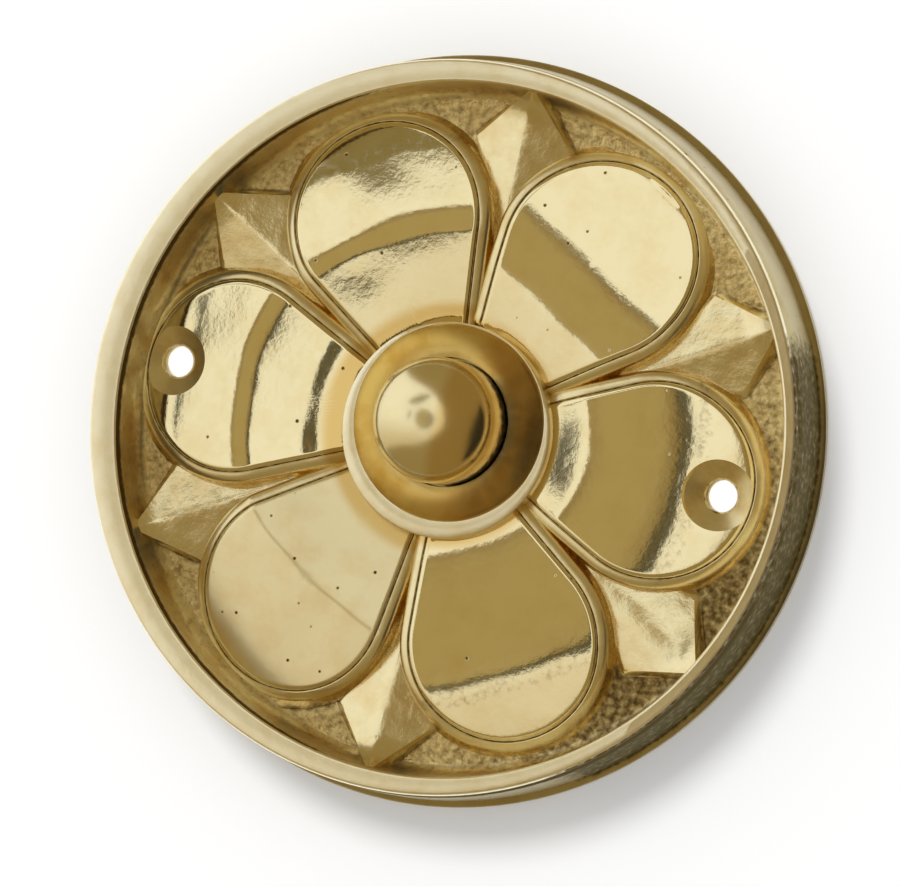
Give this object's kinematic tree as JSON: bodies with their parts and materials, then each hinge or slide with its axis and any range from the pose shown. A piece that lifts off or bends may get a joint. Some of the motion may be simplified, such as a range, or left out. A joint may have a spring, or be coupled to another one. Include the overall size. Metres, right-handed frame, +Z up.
{
  "type": "bell push",
  "caption": "Round cast brass bell push: raised rim, petal rose with ridged sepals, dished collar, domed sprung button and a contact base behind.",
  "frame": {"origin": "midway between the two fixing holes, on the plane of the back of the plate, which lies on the wall", "axes": "-Y out of the wall, towards the person who rings; +X through the two fixing holes; +Z up"},
  "size_m": [0.075, 0.0161, 0.075],
  "materials": {
    "cast_brass": "hand-polished casting",
    "turned_brass": "turned and polished",
    "black_moulding": "moulded, satin",
    "spring_bronze": "rolled strip",
    "contact_brass": "bright",
    "contact_silver": "dull silver",
    "screw_brass": "turned",
    "steel_screw": "plain steel"
  },
  "bodies": {
    "plate": {"face_plate": "cast_brass", "contact_base": "black_moulding", "moving_contact": "spring_bronze", "fixed_contact": "contact_brass", "contact_rivet": "contact_silver", "terminal_post_moving": "contact_brass", "terminal_post_fixed": "contact_brass", "terminal_washer_moving": "contact_brass", "terminal_washer_fixed": "contact_brass", "terminal_screw_moving": "screw_brass", "terminal_screw_fixed": "screw_brass", "base_screw_upper": "steel_screw", "base_screw_lower": "steel_screw"},
    "button": {"push_button": "turned_brass"}
  },
  "joints": [
    {"name": "button_press", "type": "slide", "parent": "plate", "child": "button", "axis": [0, 1, 0], "range_m": [0, 0.0015], "stiffness_N_per_m": 1200, "springref_m": -0.0008, "deforming": ["moving_contact"]}
  ]
}
